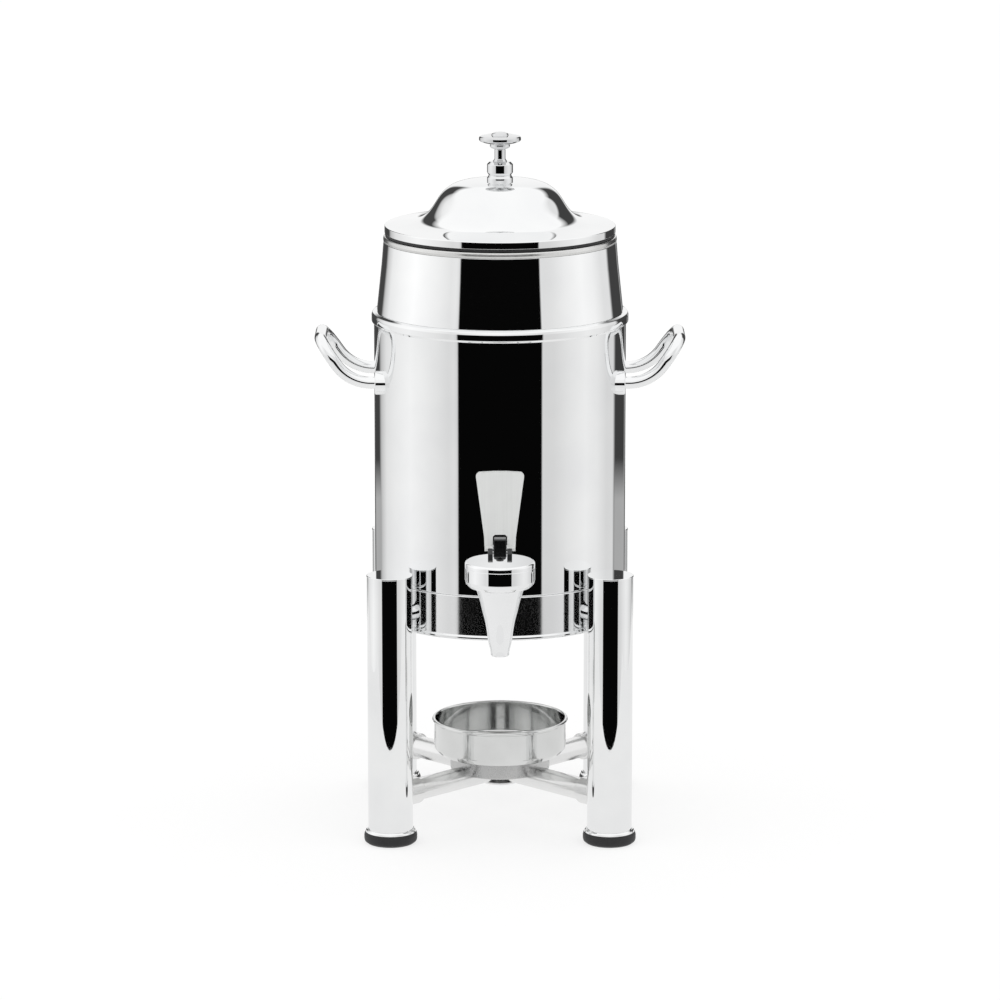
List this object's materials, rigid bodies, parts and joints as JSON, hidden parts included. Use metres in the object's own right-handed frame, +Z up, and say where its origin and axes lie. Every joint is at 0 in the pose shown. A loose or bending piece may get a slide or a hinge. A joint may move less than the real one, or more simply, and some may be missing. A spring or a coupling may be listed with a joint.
{
  "type": "coffee urn",
  "caption": "Polished round coffee urn with domed lid, loop handles and a self-closing lever tap, hung in a ring between tube legs above a lift-off burner holder.",
  "frame": {"origin": "on the tabletop, on the urn's vertical axis, at the centre of the four feet", "axes": "+Z up along the urn's axis, +X to the user's right, -Y towards the user and the tap"},
  "size_m": [0.2642, 0.2404, 0.4996],
  "materials": {
    "polished_steel": "mirror polished stainless steel",
    "satin_steel": "satin stainless steel tube",
    "brushed_liner": "brushed stainless liner",
    "zinc_fixings": "plain bright fixings",
    "plated_brass": "brass with a mirror chrome plating",
    "satin_lever": "satin face, polished edges",
    "spring_wire": "stainless spring wire",
    "silicone": "food-grade seal",
    "black_rubber": "matt black"
  },
  "bodies": {
    "stand": {"leg_front_left": "polished_steel", "leg_front_right": "polished_steel", "leg_rear_right": "polished_steel", "leg_rear_left": "polished_steel", "leg_caps": "polished_steel", "foot_rims": "polished_steel", "rubber_feet": "black_rubber", "support_ring": "polished_steel", "ring_spacers": "polished_steel", "ring_screws": "zinc_fixings", "leg_inserts": "zinc_fixings", "brace_arm_front_left": "satin_steel", "brace_arm_front_right": "satin_steel", "brace_arm_rear_right": "satin_steel", "brace_arm_rear_left": "satin_steel", "arm_collars": "satin_steel", "arm_plugs": "zinc_fixings", "arm_studs": "zinc_fixings", "stud_nuts": "zinc_fixings", "hub_disc": "satin_steel", "hub_clamp_plate": "satin_steel", "hub_bolt": "zinc_fixings", "burner_pin": "zinc_fixings"},
    "burner": {"burner_cup": "polished_steel"},
    "urn": {"body_shell": "polished_steel", "band_ring": "polished_steel", "neck_shell": "polished_steel", "inner_tank": "brushed_liner", "bottom_ring": "brushed_liner", "handle_right": "polished_steel", "handle_left": "polished_steel", "handle_flanges": "polished_steel", "handle_washers": "zinc_fixings", "handle_nuts": "zinc_fixings", "tap_body": "plated_brass", "outer_gasket": "silicone", "inner_gasket": "silicone", "shank_nut": "plated_brass", "tap_bonnet": "plated_brass", "return_spring": "spring_wire"},
    "valve": {"valve_stem": "plated_brass", "seat_cup": "silicone", "lever_pin": "zinc_fixings"},
    "lever": {"tap_lever": "satin_lever"},
    "lid": {"lid_shell": "polished_steel", "lid_collar": "polished_steel", "lid_seal": "black_rubber", "knob_base": "polished_steel", "lid_knob": "polished_steel", "knob_washer": "zinc_fixings", "knob_screw": "zinc_fixings"}
  },
  "joints": [
    {"name": "urn_lift", "type": "slide", "parent": "stand", "child": "urn", "axis": [0, 0, 1], "range_m": [0, 0.1]},
    {"name": "burner_lift", "type": "slide", "parent": "stand", "child": "burner", "axis": [0, 0, 1], "range_m": [0, 0.06]},
    {"name": "lid_lift", "type": "slide", "parent": "urn", "child": "lid", "axis": [0, 0, 1], "range_m": [0, 0.12]},
    {"name": "valve_lift", "type": "slide", "parent": "urn", "child": "valve", "axis": [0, 0, 1], "range_m": [0, 0.00392], "deforming": ["return_spring"]},
    {"name": "lever_tilt", "type": "hinge", "parent": "valve", "child": "lever", "pos_m": [0, -0.119, 0.2245], "axis": [1, 0, 0], "range_deg": [0, 40], "stiffness_Nm_per_rad": 0.8, "springref_deg": -17.19}
  ],
  "couplings": [
    {"joint": "valve_lift", "follows": "lever_tilt", "m_per_rad": 0.0056}
  ]
}
